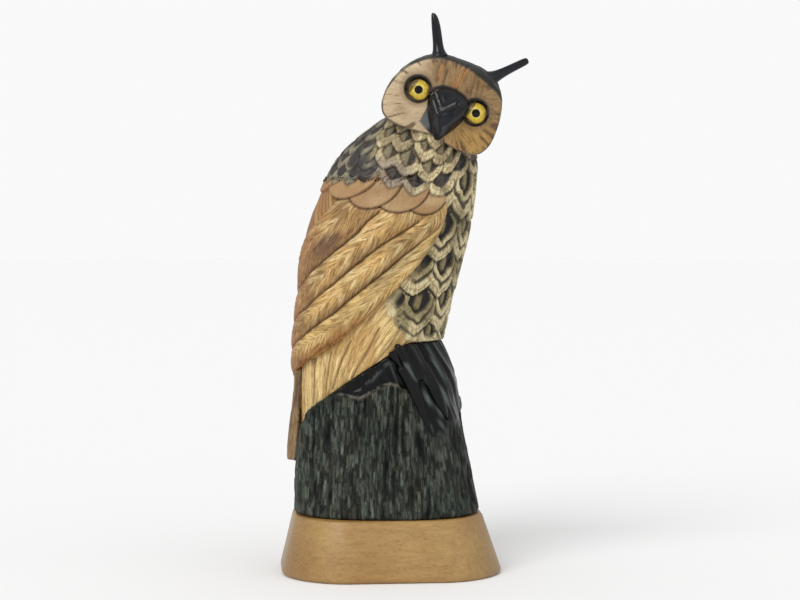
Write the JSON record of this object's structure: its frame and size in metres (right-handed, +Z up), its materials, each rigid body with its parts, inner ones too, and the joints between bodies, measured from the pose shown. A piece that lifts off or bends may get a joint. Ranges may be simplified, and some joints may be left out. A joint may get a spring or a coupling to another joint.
{
  "type": "carved wooden owl figurine",
  "caption": "Carved and burnt wooden owl with a turned, tilted head, folded wings, glass eyes, black beak and ear tufts, perched on a bark stump on a pale wooden base.",
  "frame": {"origin": "middle of the base's flat underside, at the height it stands on", "axes": "+Z up, the longest extent; the face looks along -Y; +X to the face's left side, where the breast also points"},
  "size_m": [0.1334, 0.0946, 0.2985],
  "materials": {
    "base_wood": "satin varnished pale wood with fine flecks",
    "bark": "furrowed dark green-black stained wood",
    "carved_wood": "satin tan wood, burnt and tinted line by line",
    "black_lacquer": "gloss black lacquer over carved wood",
    "black_horn": "polished black horn",
    "dowel_wood": "bare birch dowel",
    "eye_glass": "clear polished glass",
    "iris_enamel": "yellow enamel fired on the back of the eye",
    "pupil_enamel": "black enamel fired on the back of the eye",
    "steel": "zinc-plated steel"
  },
  "bodies": {
    "root": {"base": "base_wood", "base_screw_left": "steel", "base_screw_right": "steel", "stump": "bark", "stump_dowel_front": "dowel_wood", "stump_dowel_back": "dowel_wood", "right_foot": "black_lacquer", "left_foot": "black_lacquer", "body": "carved_wood", "right_wing": "carved_wood", "left_wing": "carved_wood", "tail": "carved_wood", "neck_dowel": "dowel_wood", "head": "carved_wood", "beak": "black_horn", "right_ear_tuft": "black_horn", "left_ear_tuft": "black_horn", "right_eye_glass": "eye_glass", "right_eye_iris": "iris_enamel", "right_eye_pupil": "pupil_enamel", "left_eye_glass": "eye_glass", "left_eye_iris": "iris_enamel", "left_eye_pupil": "pupil_enamel"}
  },
  "joints": []
}
